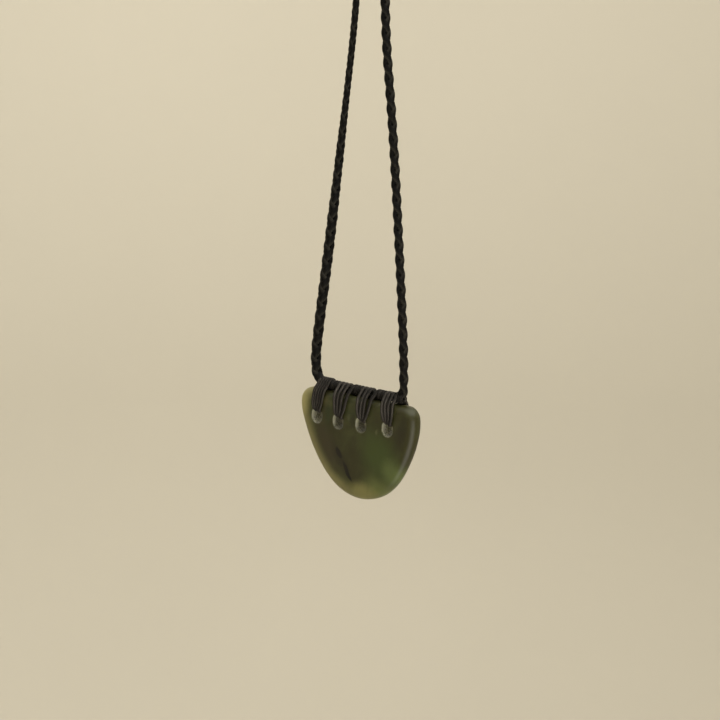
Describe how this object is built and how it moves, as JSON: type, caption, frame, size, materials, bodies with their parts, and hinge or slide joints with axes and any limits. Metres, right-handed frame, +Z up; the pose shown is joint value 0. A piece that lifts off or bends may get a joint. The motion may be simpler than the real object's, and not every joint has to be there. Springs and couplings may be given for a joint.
{
  "type": "greenstone breastplate pendant on a plaited neck cord",
  "caption": "Flat half-round greenstone pendant, lashed with waxed thread through drilled holes to a plaited neck cord that hangs as a closed loop.",
  "frame": {"origin": "the highest point inside the neck loop, where the cord hangs", "axes": "+Z up along the hanging loop, +X along the stone's top edge, -Y the way that the stone's face looks"},
  "size_m": [0.0508, 0.0082, 0.3176],
  "materials": {
    "greenstone": "polished, slightly translucent at its edges",
    "plaited_cord": "waxed plait, black",
    "waxed_thread": "waxed thread, brownish black"
  },
  "bodies": {
    "root": {"stone": "greenstone", "top_bar": "plaited_cord", "neck_braid": "plaited_cord", "lash_1": "waxed_thread", "lash_2": "waxed_thread", "lash_3": "waxed_thread", "lash_4": "waxed_thread", "bar_wrap_1": "waxed_thread", "bar_wrap_2": "waxed_thread", "bar_wrap_3": "waxed_thread"}
  },
  "joints": []
}
